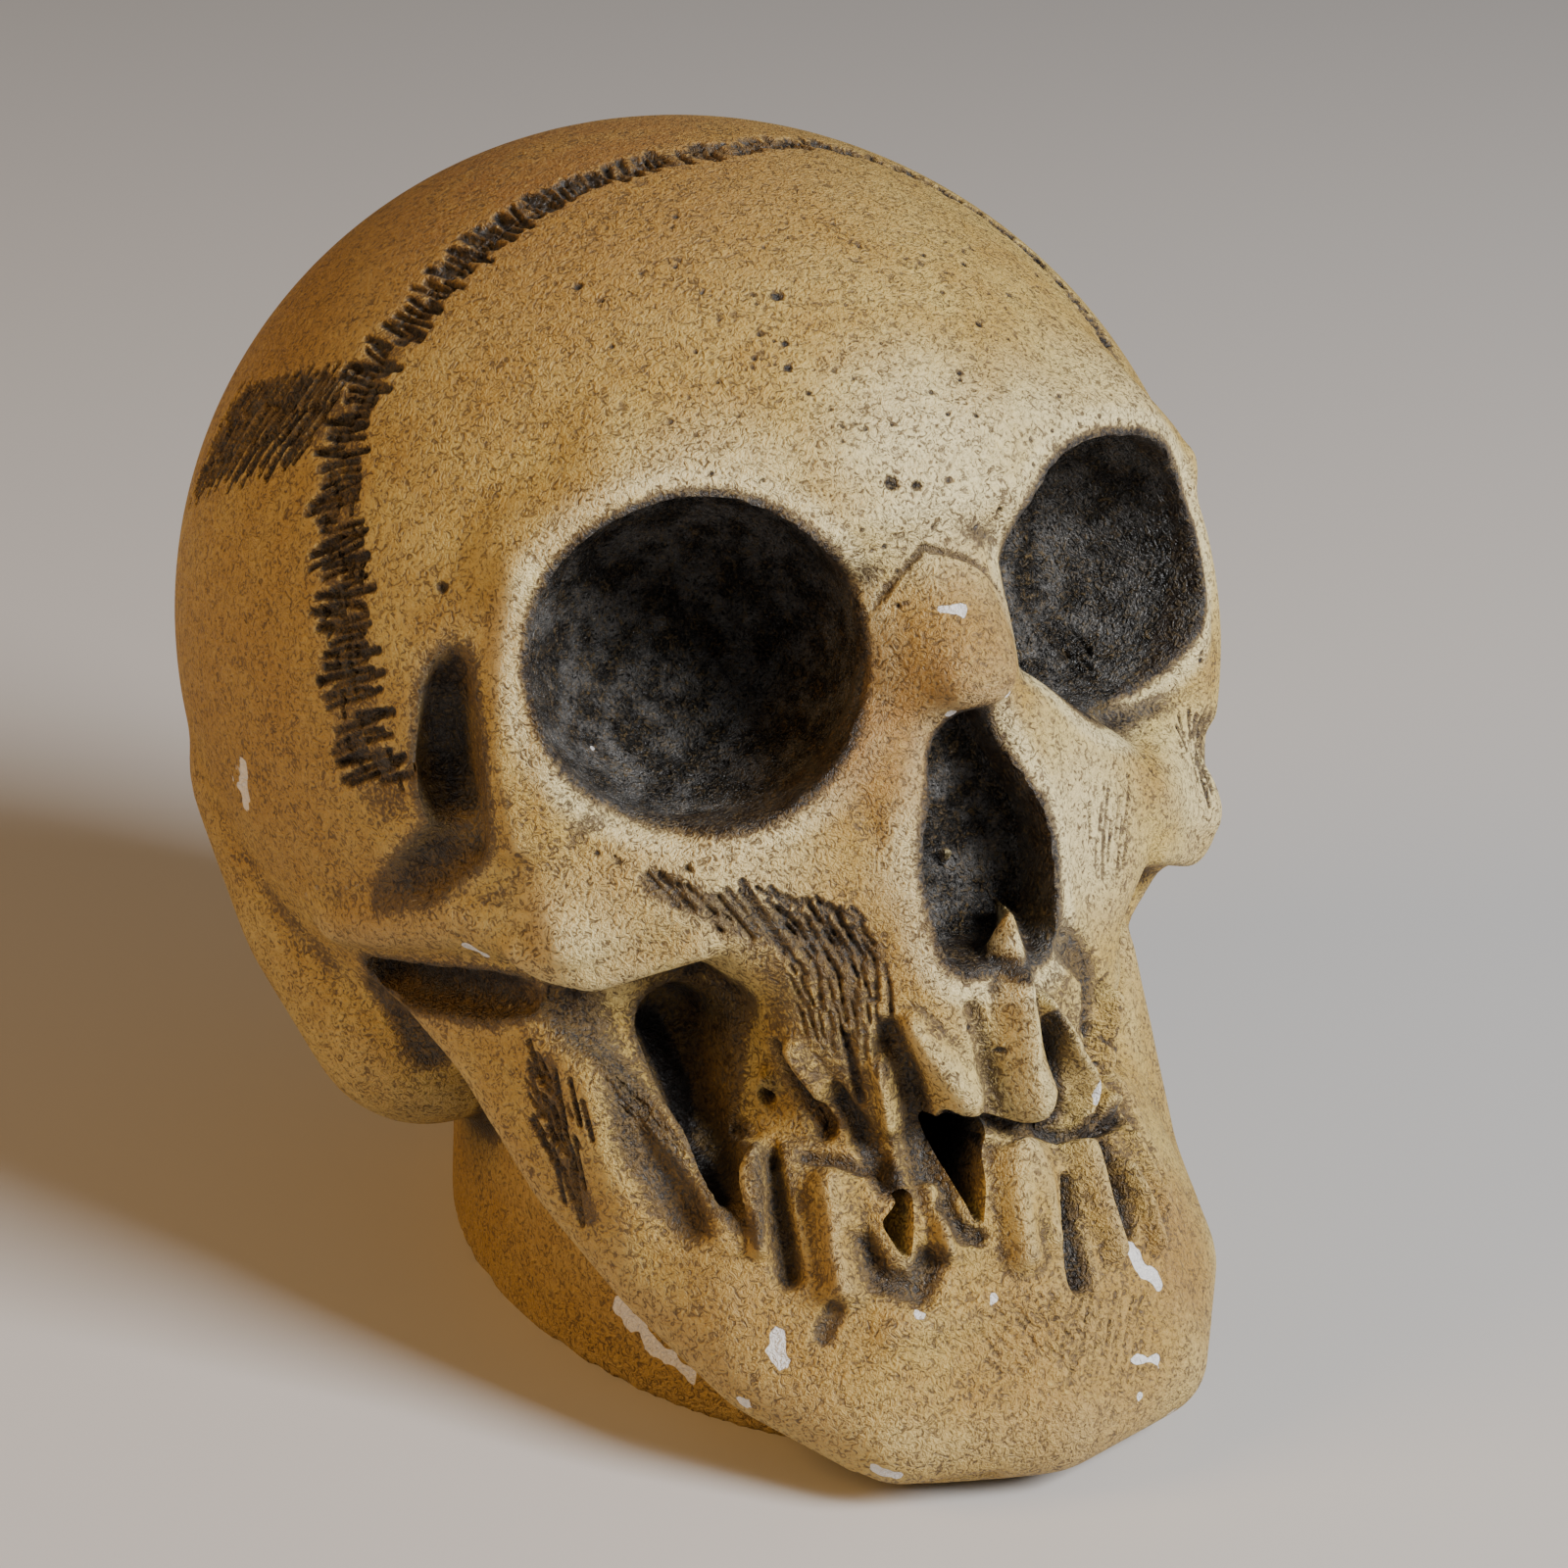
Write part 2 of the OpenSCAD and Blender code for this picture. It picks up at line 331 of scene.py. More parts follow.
def stroke(points, width, height, wash_and_shade=0.0, sides=1, chip=False):
    """Notes a stroke: half width and height in mm, and how much dark wash it holds, which on a few strokes
    is painted shade.

    The width is one number, or one for each end. With sides 2 the left side gets one as well.
    A chip is a place where the paint has flaked off and the white ground shows.
    """
    start, end = width if isinstance(width, tuple) else (width, width)
    for mirrored in range(sides):
        line = [flip(p) if mirrored else p for p in points]
        line = np.array(line if len(line) > 1 else line * 2, dtype=float) * MM
        STROKES.append((line, start * MM, end * MM, height * MM, wash_and_shade, chip))


def surface_of(piece):
    """A tree that finds the nearest point of the surface."""
    mesh = piece.data
    corners = [v.co.copy() for v in mesh.vertices]
    return BVHTree.FromPolygons(corners, [tuple(p.vertices) for p in mesh.polygons])


def laid_down(lines, tree):
    """The same strokes with their points moved onto the surface."""
    laid = []
    for line, *rest in lines:
        laid.append((np.array([tree.find_nearest(Vector(p))[0] for p in line]), *rest))
    return laid


def refine(piece, lines, reach):
    """Subdivides the faces within reach of any stroke once."""
    marks = []
    for points, start, end, *_ in lines:
        for a, b in zip(points[:-1], points[1:]):
            steps = max(2, int(np.linalg.norm(b - a) / (0.6 * MM)) + 1)
            marks += [(a + (b - a) * t, max(start, end) + reach * MM) for t in np.linspace(0, 1, steps)]
    mesh = piece.data
    centres = np.empty(len(mesh.polygons) * 3)
    mesh.polygons.foreach_get("center", centres)
    centres = centres.reshape(-1, 3)
    tree = KDTree(len(centres))
    for i, centre in enumerate(centres):
        tree.insert(centre, i)
    tree.balance()
    chosen = np.zeros(len(centres), dtype=bool)
    for point, radius in marks:
        chosen[[found[1] for found in tree.find_range(point, radius)]] = True
    select_faces(piece, chosen)
    bpy.ops.object.mode_set(mode="EDIT")
    bpy.ops.mesh.subdivide(number_cuts=1, smoothness=0, ngon=False)
    bpy.ops.object.mode_set(mode="OBJECT")


def select_faces(piece, chosen):
    pick(piece)
    mesh = piece.data
    bpy.context.tool_settings.mesh_select_mode = (False, False, True)
    mesh.vertices.foreach_set("select", np.zeros(len(mesh.vertices), dtype=bool))
    mesh.edges.foreach_set("select", np.zeros(len(mesh.edges), dtype=bool))
    mesh.polygons.foreach_set("select", chosen)


# %% Pushing the points of the surface
def read_points(piece, what="co"):
    values = np.empty(len(piece.data.vertices) * 3)
    if what == "co":
        piece.data.vertices.foreach_get("co", values)
    else:
        piece.data.vertex_normals.foreach_get("vector", values)
    return values.reshape(-1, 3)


def write_points(piece, points):
    piece.data.vertices.foreach_set("co", points.ravel())
    piece.data.update()


def soft_step(value):
    """Runs smoothly from 0 at 0 to 1 at 1."""
    value = np.clip(value, 0, 1)
    return value * value * (3 - 2 * value)


def near_line(points, line, start, end):
    """Which points a stroke touches, and how strongly, from 0 at its edge to 1 on its line."""
    reach = max(start, end)
    low = line.min(axis=0) - reach
    high = line.max(axis=0) + reach
    found = np.flatnonzero(np.all((points > low) & (points < high), axis=1))
    near = points[found]
    best = np.zeros(len(found))
    lengths = np.linalg.norm(np.diff(line, axis=0), axis=1)
    along = np.concatenate(([0], np.cumsum(lengths))) / max(lengths.sum(), 1e-9)
    for i in range(len(line) - 1):
        run = line[i + 1] - line[i]
        place = np.clip((near - line[i]) @ run / max(run @ run, 1e-12), 0, 1)
        gap = np.linalg.norm(near - line[i] - place[:, None] * run, axis=1)
        t = along[i] + (along[i + 1] - along[i]) * place
        width = start + (end - start) * t
        best = np.maximum(best, soft_step(1 - gap / width))
    return found, best


def press(piece, lines):
    """Moves the surface under each stroke. Returns how much wash, partly painted shade, and how much
    flaking each point has.
    """
    points = read_points(piece)
    normals = read_points(piece, "normal")
    rest = points.copy()
    wash_and_shade = np.zeros(len(points))
    flaked = np.zeros(len(points))
    for line, start, end, height, dark, chip in lines:
        found, weight = near_line(rest, line, start, end)
        points[found] += normals[found] * (weight * height)[:, None]
        if chip:
            flaked[found] = np.maximum(flaked[found], weight)
        elif dark > 0:
            wash_and_shade[found] = np.maximum(wash_and_shade[found], dark * np.clip(weight * 1.6, 0, 1))
        elif height > 0:
            wash_and_shade[found] *= 1 - weight
    write_points(piece, points)
    return wash_and_shade, flaked


# %% [markdown]
# ## The mouth
# The teeth have been worn to a few roots. Long ridges run down from the nose, the gaps between them
# are dark, and under the mouth line the lower teeth are blocks with a groove between. Two missing
# teeth leave holes right through the wall. Each is drawn with its own stroke, in millimetres.

# %% Ridges and gaps of the upper jaw, over a broad thin wash
stroke([(-21, -48, 50), (-17, -55, 43), (-12, -60, 37)], (5.5, 6.5), -0.1, 0.4)
stroke([(-24, -47, 43), (-21.5, -55, 33), (-18, -60, 26)], (4, 5.5), -0.1, 0.36)
stroke([(6, -58, 52), (9, -58, 45), (12, -58, 39)], (4, 4.5), -0.1, 0.3)
stroke([(14, -61, 33), (17, -61, 28), (18, -63, 23)], 4.5, -0.1, 0.3)
stroke([(-11, -57, 51), (-8.6, -59, 47), (-6, -60, 43)], (2.0, 3.5), 2.5)
stroke([(4.6, -49, 58), (1.8, -55, 55), (0.3, -58, 52), (0.6, -60, 47), (1.6, -61, 42)], (1.5, 4.2), 4.1)
stroke([(3.7, -59, 51.5), (5.8, -59.6, 48), (7.8, -59.4, 44), (10.2, -58.5, 40), (10.2, -58.5, 36.5)],
       (1.5, 2.4), 2.9)
stroke([(14.6, -55, 48.4), (15.6, -56, 42), (15.4, -57, 36)], (1.8, 2.5), 2.5)
stroke([(4.2, -59.5, 50), (5.2, -60, 43.5), (6.6, -59, 37.5)], (1.3, 1.9), -1.8, 1.0)
stroke([(9, -57, 56.5), (12.5, -55.5, 52), (11, -57.5, 47)], (3.8, 2.6), -1.5, 0.75)
stroke([(12.6, -57, 45), (12.8, -58, 37)], 1.6, -1.4, 0.9)
stroke([(-4.6, -58, 52), (-3.4, -60, 46), (-3, -60.5, 41)], (1.7, 2.3), -1.2, 0.45)
stroke([(-13.2, -55.5, 50), (-11.8, -57, 45), (-10.4, -57.8, 38), (-9.7, -61, 33)],
       (2.4, 3.8), -2.1, 0.85)
stroke([(-13.8, -55.6, 46), (-13.2, -56.6, 40), (-13.9, -59, 35)], 1.9, 2.0)
stroke([(-17, -53, 49), (-15.4, -54, 41.6)], 1.0, -0.9, 0.9)
stroke([(-17.2, -51.5, 42), (-15.4, -54.5, 38), (-14.2, -58.5, 34)], (1.9, 2.8), -2.0, 0.95)
stroke([(-20, -48.5, 47), (-18.4, -51, 42)], 1.9, 1.7)
stroke([(-21.6, -46.3, 46), (-19.6, -48, 41.6), (-18, -50.8, 38)], (1.4, 2.2), -2.0, 0.9)

# %% The mouth line and the lower teeth
stroke([(-8, -60, 40.6), (-3.6, -60.6, 39), (3.7, -60.4, 37), (8.6, -60, 35), (13, -58, 33.8),
        (17, -55, 33)], (1.4, 1.6), -2.2, 1.0)
stroke([(-20.6, -52, 36), (-16.4, -56, 35.4)], 1.7, -1.3, 0.8)
stroke([(-0.4, -61.5, 35.5), (-1.6, -64, 30.5), (-2, -66, 26)], (3.2, 2.8), 2.4)
stroke([(1.8, -61.5, 35.2), (1.2, -64, 31), (1, -66, 27)], (3.0, 2.0), 1.7)
stroke([(8.4, -61, 33.8), (8.6, -64, 28.5), (9.4, -66.5, 24)], (3.2, 2.4), 2.5)
stroke([(5.4, -63.4, 32), (4.4, -66.3, 27), (4.2, -68.8, 23)], (1.2, 2.6), -2.7, 1.0)
stroke([(12.4, -60.5, 33), (13, -62.6, 29), (12.6, -65, 25)], (2.3, 1.7), -2.2, 0.9)
stroke([(14.2, -61.6, 30.6), (15.4, -63, 26.4), (16, -65.4, 22.6)], 1.5, 2.0)
stroke([(-10.4, -61, 33.6), (-10.2, -62.5, 31), (-10.4, -64.4, 27.6)], 1.8, 2.0)
stroke([(-18.6, -59.6, 28), (-17, -62, 24.8), (-14, -65, 24), (-12.4, -64.6, 27)], 2.8, -1.8, 0.8)
stroke([(-9.6, -62, 31.6), (-8.4, -64.4, 29.2), (-7, -65, 28.8)], 1.7, -1.2, 0.8)
stroke([(-19.6, -55.5, 33.4), (-20, -58, 29), (-20.6, -60.6, 24)], (3.5, 3.0), 2.7)
stroke([(-22, -45, 42), (-25.8, -50, 34), (-27, -53.6, 27)], (1.5, 1.8), 2.0)
stroke([(-21.6, -44.5, 40), (-23.6, -49.6, 35), (-24.7, -53.2, 30.4), (-25.2, -56.6, 24.6)],
       (1.2, 2.4), -2.4, 0.7)
stroke([(-22.5, -60, 18.5), (-21.5, -60.5, 21.5)], 1.7, -0.8, 0.7)
# This stroke's dark wash is painted shade in the shallow hollow beside the lower teeth.
stroke([(19.6, -50, 40), (20.6, -54, 34), (22, -58, 27)], 2.6, -1.8, 0.55)
stroke([(16.8, -54, 42), (17.6, -56, 36)], 1.6, 1.4)
stroke([(17.4, -59.6, 33), (19, -61, 29), (19.6, -62, 25)], 1.6, 1.7)

# %% Folds of the face
stroke([(-9.4, -39.2, 88.5), (-7.4, -42, 94), (-3, -42.5, 98.6), (2.4, -44, 97), (5.4, -43.6, 93)],
       (0.8, 0.7), -0.6, 0.6)
stroke([(-8.6, -41, 86), (-10.6, -44, 78), (-11.8, -49, 70)], (1.6, 2), -0.5, 0.12)
stroke([(0, -50, 66), (0.2, -55, 60.5), (1, -56, 57)], (0.9, 1.6), 2.0)
stroke([(-45, -31, 55), (-38, -37, 53.6), (-30, -45, 57)], 3.0, 1.4, sides=2)
stroke([(-44, -27, 97), (-46.4, -28.6, 88), (-46.6, -29.5, 78), (-45, -31, 68)], 3.2, 0.9, sides=2)
stroke([(-39, -39, 49), (-38, -38, 45), (-32.6, -46, 34), (-28, -50, 26)], (1.6, 2.4), 0.5)
# The wash of the next two strokes is partly painted shade in the right cheek hollow; the near-black band
# of the second is painted shadow under the overhanging cheekbone.
stroke([(-38.7, -31.8, 47.7), (-36, -37.6, 42.6), (-34.2, -41.4, 36.3), (-32, -47, 29)],
       (6.0, 4.6), -2.2, 0.78)
stroke([(-27.3, -28.5, 43.4), (-26.4, -33.6, 37.6), (-27.8, -42, 31.6), (-29.2, -47.7, 29.8)],
       (3.0, 2.0), -0.3, 1.4)
stroke([(0, -70, 22.6), (-9, -68, 21.6), (-17, -65, 20)], (3.4, 3), 0.7)
stroke([(-20, -66, 3.4), (-14, -70, 2.8), (-9, -73, 2.6)], 2.2, -0.7, 0.0)
print("strokes so far:", len(STROKES))

# %% [markdown]
# ## Stitches, scratches, pinholes and chips
# A row of short scratches crosses the joint between the front and the rear shell, a comb of longer
# ones marks the side of the braincase, and a few are scratched under the sockets and on the jaw.
# They are loops over jittered steps along a path, with a seeded random generator, so that every run
# gives the same skull. Pinholes are burst bubbles, and chips are lost flakes of paint.

# %% Scratches along a path
rng = np.random.default_rng(11)
SEAM = [(-2, 5.6, 130), (-10, 7, 129), (-21, 8, 126), (-28, 8, 122.4), (-37, 6.6, 116), (-43.5, 6, 110.3),
        (-46.8, 4.6, 106), (-50, 1.5, 100.5), (-52.4, -2.5, 95), (-54, -6.6, 89.5), (-55, -9, 84.5),
        (-54.8, -12, 77), (-53.6, -15.5, 70)]
LEFT_SEAM = [(0, 5.6, 130), (12, 8, 128.6), (22, 5, 125), (30, -2, 119.6), (35.4, -11, 112.8),
             (37, -18, 108)]


def walk(path, step):
    """Evenly spaced places along a path, each with its direction and its share of the way."""
    path = np.array(path, dtype=float)
    lengths = np.linalg.norm(np.diff(path, axis=0), axis=1)
    along = np.concatenate(([0], np.cumsum(lengths)))
    places = np.arange(0, along[-1], step)
    points = np.stack([np.interp(places, along, path[:, i]) for i in range(3)], axis=1)
    ahead = np.stack([np.interp(places + 1, along, path[:, i]) for i in range(3)], axis=1)
    return points, ahead - points, places / along[-1]


def outward(point):
    """The direction away from the middle of the braincase."""
    away = (np.array(point) - VAULT_MIDDLE) / VAULT_RADII**2
    return away / np.linalg.norm(away)


def stitches(path, step, reach_start, reach_end, sides=1):
    """Short scratches across a path, now and then joined by one along it."""
    points, runs, shares = walk(path, step)
    for point, run, share in zip(points, runs, shares):
        if np.linalg.norm(run) < 0.1:
            continue
        across = np.cross(outward(point), run / np.linalg.norm(run))
        reach = reach_start + (reach_end - reach_start) * share
        for side in (-1, 1):
            if rng.random() < 0.12:
                continue
            inner = rng.uniform(-0.3, 0.5) * side
            outer = reach * rng.uniform(0.55, 1.15) * side
            drift = run * rng.uniform(-0.7, 0.7)
            line = [point + across * inner, point + across * (inner + outer) / 2 + drift * 0.3,
                    point + across * outer + drift]
            stroke([tuple(p) for p in line], rng.uniform(0.5, 0.85), -rng.uniform(0.4, 0.75),
                   rng.uniform(0.8, 1.2), sides=sides)
            if rng.random() < 0.35:
                start = point + across * outer * rng.uniform(0.3, 1)
                stroke([tuple(start), tuple(start + run * rng.uniform(0.8, 1.8))], 0.55, -0.4,
                       0.9, sides=sides)


def hatch(top, bottom, count, rows, width, depth, wash_and_shade, slant=(0, 0, 0), sides=1):
    """A comb of scratches that fills the patch between a top line and a bottom line."""
    top = np.array(top, dtype=float)
    bottom = np.array(bottom, dtype=float)
    for row in range(rows):
        for i in range(count):
            share = (i + rng.uniform(-0.3, 0.3)) / max(count - 1, 1)
            high = top[0] + (top[1] - top[0]) * share
            low = bottom[0] + (bottom[1] - bottom[0]) * share
            start = (row + rng.uniform(-0.25, 0.3)) / rows
            end = (row + 1 + rng.uniform(-0.3, 0.35)) / rows
            line = [high + (low - high) * start, high + (low - high) * end + np.array(slant)]
            stroke([tuple(p) for p in line], width * rng.uniform(0.7, 1.2),
                   -depth * rng.uniform(0.6, 1.2),
                   wash_and_shade * rng.uniform(0.7, 1), sides=sides)


stroke(SEAM, (2.8, 5.4), -0.3, 0.34)
stroke(LEFT_SEAM, (2.6, 2.4), -0.3, 0.34)
stitches(SEAM, 0.95, 2.5, 5.0)
stitches(LEFT_SEAM, 1.0, 2.0, 2.4)
stitches([(37, -18, 108), (36.6, -26, 103.5)], 1.0, 1.2, 1.0)
stroke([(-51.4, 31, 94), (-48.5, 20, 101.5), (-47.4, 10, 104)], 6.5, -0.35, 0.42, sides=2)
hatch([(-48, 33, 101), (-45.5, 9, 109.5)], [(-53.6, 36, 88), (-51.2, 9, 99)], 26, 3, 0.62, 0.6, 1.15,
      slant=(0, 0.8, -0.6), sides=2)
stitches([(53, -15.5, 70), (54.6, -12, 77), (55, -8, 86), (52.4, -2.5, 95), (47, 4.6, 106),
          (40, 6.6, 113)], 1.1, 3.2, 2.2)

# %% Scratches under the sockets, on the jaw, round the mouth and on the chin
stroke([(-33, -40, 65), (-26, -46, 61.6), (-20, -49.4, 60), (-15, -52, 58)], (2.6, 4.2), -0.5, 0.62)
hatch([(-34, -38, 66.5), (-16.5, -50, 62)], [(-31.5, -42, 62.4), (-14.6, -52, 56)], 15, 1, 0.62, 0.6, 1.0,
      slant=(0.9, 0, -0.3))
hatch([(-24, -46, 65), (-15, -51, 63)], [(-22, -48, 60), (-14, -52.4, 57.4)], 8, 3, 0.6, 0.45, 1.0,
      slant=(0.9, 0, 0.2))
stroke([(-18.6, -50.6, 57), (-16.6, -52, 53), (-17, -53, 48)], (4.4, 3.4), -0.35, 0.5)
hatch([(-21.5, -48.6, 57), (-12.6, -54, 57)], [(-20.4, -49.6, 49), (-13, -54.6, 46)], 9, 5, 0.5, 0.4, 0.7,
      slant=(0.5, 0, 0))
stroke([(-24, -46, 58.6), (-20, -49, 52), (-18.6, -51.6, 45)], 3.2, -0.2, 0.35)
stroke([(-41.8, -33, 43), (-41.8, -35, 35), (-40, -38.6, 27)], (2.2, 2.6), -0.2, 0.55)
hatch([(-42.5, -30, 45), (-40, -38, 41)], [(-42.8, -31, 33), (-40.6, -36.5, 25)], 5, 3, 0.6, 0.6, 1.0,
      slant=(0.8, -1.6, 0))
hatch([(-43, -30, 42), (-40.4, -37, 39)], [(-43, -31.6, 34), (-41, -36, 28)], 6, 4, 0.55, 0.45, 0.9,
      slant=(-0.6, -1.2, 1.4))
hatch([(-38.5, -38.5, 47.5), (-33.6, -42, 46)], [(-38, -40, 39), (-33, -45, 36)], 9, 4, 0.4, 0.3, 0.8,
      slant=(0.8, -0.8, 0))
hatch([(-9, -68, 22.4), (4, -69.5, 22.6)], [(-9, -71, 15), (3, -73, 16)], 10, 3, 0.4, 0.25, 0.3,
      slant=(1.6, 0, 0.6))
hatch([(1, -69.6, 22.4), (13, -69, 19)], [(1, -73, 14), (12, -73, 11)], 9, 3, 0.4, 0.25, 0.3,
      slant=(-1.8, 0, 0.4))
hatch([(17.5, -54.5, 50), (13, -56.6, 42)], [(14.6, -56, 50), (16.4, -55.6, 38)], 6, 1, 0.4, 0.35, 0.8)
stroke([(42, -33, 67), (43.4, -32.5, 62)], 2.6, -0.4, 0.5)
hatch([(37.5, -35, 70), (43, -30, 68)], [(39.5, -36, 60), (43.6, -33, 59)], 7, 4, 0.5, 0.5, 0.85,
      slant=(-0.9, 0, -0.5))
hatch([(16, -49, 68), (24, -45, 68.5)], [(16, -50, 62), (21, -48.5, 60)], 5, 2, 0.5, 0.3, 0.55,
      slant=(-1, 0, -0.4))
stroke([(-47.8, -3.5, 41), (-45.5, -6, 37.5), (-42.8, -6.7, 33.5)], (3.2, 4.0), -0.4, 0.85)
hatch([(19, -17, 77), (33, -17, 72)], [(19, -23, 73), (33, -26, 69.5)], 10, 2, 0.6, 0.5, 0.6)

# %% Pinholes and chips
PINHOLES = [(-9, -21, 121, 1.1), (-13, -24.4, 118.2, 0.6), (-11, -26.3, 117.4, 0.7),
            (-14.8, -26.4, 116.3, 0.5), (-12, -28.7, 115.5, 0.7), (-6, -40.6, 105.5, 1.2),
            (-3.3, -41.2, 105, 0.9), (16.4, -18, 120.6, 0.7), (20.5, -21, 117.5, 0.7),
            (13, -26.7, 116.6, 0.7), (7, -32.5, 113.6, 0.6), (-26, -8, 120.7, 0.8),
            (-12.8, -5.6, 126, 0.6), (-47, -18, 93, 1.0), (-5, -58, 50, 0.7), (-2, -60, 47.6, 0.6)]
for *place, size in PINHOLES:
    stroke([tuple(place)], size, -0.7 * size, 1.0)
for _ in range(70):
    turn = rng.uniform(0, 2 * math.pi)
    side = rng.choice((-1, 1))
    place = np.array(EYE_MIDDLE) + (0, -12, 0) + EYE_RADIUS * rng.uniform(1.08, 1.3) * np.array(
        (math.cos(turn), 0, math.sin(turn)))
    stroke([(side * place[0], place[1], place[2])], rng.uniform(0.35, 0.6), -0.4, 0.85)
for _ in range(90):
    place = (rng.uniform(-30, 34), rng.uniform(-45, -5), rng.uniform(100, 126))
    stroke([place], rng.uniform(0.3, 0.55), -0.35, 0.8)

CHIPS = [([(-57.6, 9, 64.6), (-57.6, 10.4, 61.4)], (1.4, 2.9)),
         ([(-46.5, -24, 54.4), (-46, -25.4, 52.6)], 1.3),
         ([(-30.6, -30, 9.6), (-29.2, -34.5, 6.8), (-27.2, -39.5, 4.6)], (1.8, 1.3)),
         ([(-27.6, -59.2, 19), (-28, -59.4, 17)], 1.8), ([(-30.9, -57.4, 11.3)], 1.1),
         ([(-21, -69, 6.2), (-19, -70, 5.6)], 1.1), ([(-14.8, -70, 3.4)], 1.0),
         ([(12.6, -66.6, 23.6), (13.6, -67.4, 20.6), (15.4, -67.6, 19.4)], (1.3, 1.8)),
         ([(10, -72.4, 13.4), (12.4, -72.2, 12.8)], 1.3), ([(-14.7, -66, 22)], 1.0),
         ([(-6.4, -68, 22.8)], 1.1), ([(-32, -21, 71.7)], 1.0),
         ([(-3.4, -47, 93.4), (-1, -47.6, 93.2)], 1.0), ([(-2.6, -49, 82)], 1.1),
         ([(9.9, -58, 41.6), (10.2, -58, 40)], 2.1), ([(16, -70, 4.6)], 1.3), ([(-27, -50, 14)], 0.8),
         ([(3, -48.6, 84.6), (4.4, -48, 83.4)], 1.3), ([(8, -70, 9)], 0.8), ([(44.6, -12, 90)], 1.3)]
for line, width in CHIPS:
    stroke(line, width, -0.12, chip=True)
print("strokes:", len(STROKES))

# %% [markdown]
# ## Pressing the strokes into the clay
# The strokes are laid on the surface and the faces below them are subdivided, twice for all but the
# widest strokes and the chips. Then all of them are pressed in at once, so the order of the strokes
# doesn't matter to their depth.

# %% Refine and press
WIDE_STROKE = 2.6
laid = laid_down(STROKES, surface_of(clay))
fine = [mark for mark in laid if max(mark[1:3]) < WIDE_STROKE * MM and not mark[5]]
refine(clay, laid, 0.9)
refine(clay, fine, 0.2)
print("clay with small faces near the strokes:", len(clay.data.vertices), "vertices")
stroke_wash_and_shade, flaked = press(clay, laid)
points = read_points(clay)
points[:, 2] = np.where(points[:, 2] < 0.5 * MM, 0, points[:, 2])
write_points(clay, points)

# %% [markdown]
# ## Where the paint goes
# The maker floods the skull with thin dark wash and wipes it off the high places. So the wash is
# dark where a spoon or a groove has been and in every small recess, and ridges come out pale.
# Part of the dark is painted shade: shaded hollows of temples and cheeks are washed darker, and the
# inside seen through the mouth is painted black. Part of the pale is painted highlight on the brow,
# cheekbones and upper jaw, and part of the brown is painted shade on the crown, the chin and the
# side of the braincase away from the window. Four numbers are worked out for each point of the
# surface: wash and shade, flaked, brown and shade, and pale and highlight.

# %% Recesses and ridges
def neighbour_average(piece, rounds):
    """The surface's points, each moved towards the middle of its neighbours several times."""
    mesh = piece.data
    edges = np.empty(len(mesh.edges) * 2, dtype=np.int64)
    mesh.edges.foreach_get("vertices", edges)
    one, other = edges.reshape(-1, 2).T
    count = len(mesh.vertices)
    degree = np.bincount(one, minlength=count) + np.bincount(other, minlength=count)
    points = read_points(piece)
    for _ in range(rounds):
        for axis in range(3):
            values = points[:, axis]
            total = np.bincount(one, values[other], count) + np.bincount(other, values[one], count)
            points[:, axis] = 0.4 * values + 0.6 * total / degree
    return points


normals = read_points(clay, "normal")
points = read_points(clay)
recess = ((neighbour_average(clay, 14) - points) * normals).sum(axis=1) / MM
print("recess in mm, from", round(float(recess.min()), 2), "to", round(float(recess.max()), 2))


# %% Wash, warmth and pale places
def blobs(places):
    """How near each point is to any of these places: x, y, z, radius in mm, and strength."""
    total = np.zeros(len(points))
    for *middle, radius, strength in places:
        gap = np.linalg.norm(points - np.array(middle) * MM, axis=1) / (radius * MM)
        total = np.maximum(total, strength * soft_step(1.25 - gap))
    return total


# Brown places, partly the figure's own orange-brown paint on the nose bridge, jaw and neck, and partly
# painted shade on the crown and the chin, with painted shade and warm lamplight on the side of the
# braincase away from the window.
BROWN_PAINT_AND_SHADE = [(-14, 14, 128, 40, 0.95), (-40, 28, 110, 24, 0.6), (20, -64, 20, 13, 0.8), (2, -68, 14, 22, 0.6),
        (-10, -45, 80, 13, 1.0), (0, -48, 88, 11, 0.8), (-14, -52, 60, 11, 0.45), (-24, -56, 20, 18, 0.45),
        (0, -10, 0, 52, 0.75), (-47, -12, 50, 15, 0.6), (-40, -22, 88, 9, 0.5), (-58, 10, 70, 28, 0.45),
        (-34, -24, 72, 10, 0.35), (-20, -52, 40, 10, 0.3), (58, 10, 70, 28, 0.3), (0, 76, 70, 40, 0.4),
        (0, 20, 20, 40, 0.5)]
# Pale places, partly the figure's own pale paint on high places and partly painted highlight where the
# brow, cheekbones and upper jaw catch the light.
PALE_PAINT_AND_HIGHLIGHT = [(0, -38, 106, 15, 0.95), (-24, -38, 66, 13, 0.8), (-36, -33, 58, 10, 0.7), (14, -50, 66, 12, 0.8),
        (38, -36, 62, 10, 0.7), (-24, -36, 105, 12, 0.65), (16, -36, 105, 12, 0.7), (0, -58, 45, 14, 0.3),
        (-8, -52, 66, 6, 0.9), (9, -52, 66, 6, 0.7), (40, -25, 84, 9, 0.6),
        (-38, -30, 78, 7, 0.4), (26, -30, 105, 12, 0.5)]
warm = blobs(BROWN_PAINT_AND_SHADE)
pale_paint_and_highlight = blobs(PALE_PAINT_AND_HIGHLIGHT)
wash_and_shade = np.maximum(stroke_wash_and_shade, np.clip((recess - 0.04) * 2.3, 0, 0.95))
pale_paint_and_highlight = np.clip(pale_paint_and_highlight + np.clip(-recess * 0.9, 0, 0.35), 0, 1)
